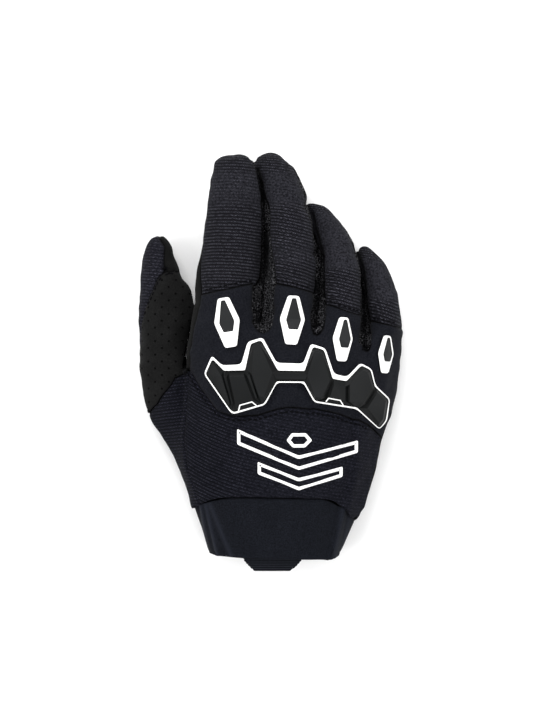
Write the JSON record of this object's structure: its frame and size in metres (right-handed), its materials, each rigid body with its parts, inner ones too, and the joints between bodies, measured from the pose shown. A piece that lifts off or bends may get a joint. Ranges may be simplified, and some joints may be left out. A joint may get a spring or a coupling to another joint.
{
  "type": "motocross glove",
  "caption": "Right-hand off-road riding glove in black cloth and suede, with a faceted knuckle guard, white rim and white finger badges.",
  "frame": {"origin": "middle of the glove's box, on the surface it lies on", "axes": "+Y along the fingers, +Z from the palm to the back of the hand, -X towards the thumb"},
  "size_m": [0.1328, 0.2112, 0.0498],
  "materials": {
    "ribbed_cloth": "matte ribbed stretch cloth",
    "panel_cloth": "matte smooth stretch cloth",
    "mesh_cloth": "matte mesh",
    "suede": "brushed",
    "neoprene": "matte, smooth-faced",
    "tab_webbing": "matte ribbed",
    "black_rubber": "satin",
    "white_rubber": "satin",
    "grey_rubber": "satin"
  },
  "bodies": {
    "root": {"hand_back": "ribbed_cloth", "index_back": "ribbed_cloth", "middle_back": "ribbed_cloth", "ring_back": "ribbed_cloth", "little_back": "ribbed_cloth", "thumb_back": "ribbed_cloth", "thumb_gusset": "ribbed_cloth", "knuckle_panel": "panel_cloth", "gusset_index_middle": "mesh_cloth", "gusset_middle_ring": "mesh_cloth", "gusset_ring_little": "mesh_cloth", "palm": "suede", "thumb_front": "suede", "thumb_patch": "suede", "cuff": "neoprene", "pull_tab": "tab_webbing", "knuckle_guard": "black_rubber", "guard_rim": "white_rubber", "badge_index": "white_rubber", "badge_middle": "white_rubber", "badge_ring": "white_rubber", "badge_little": "white_rubber", "inset_index": "grey_rubber", "inset_middle": "grey_rubber", "inset_ring": "grey_rubber", "inset_little": "grey_rubber"}
  },
  "joints": []
}
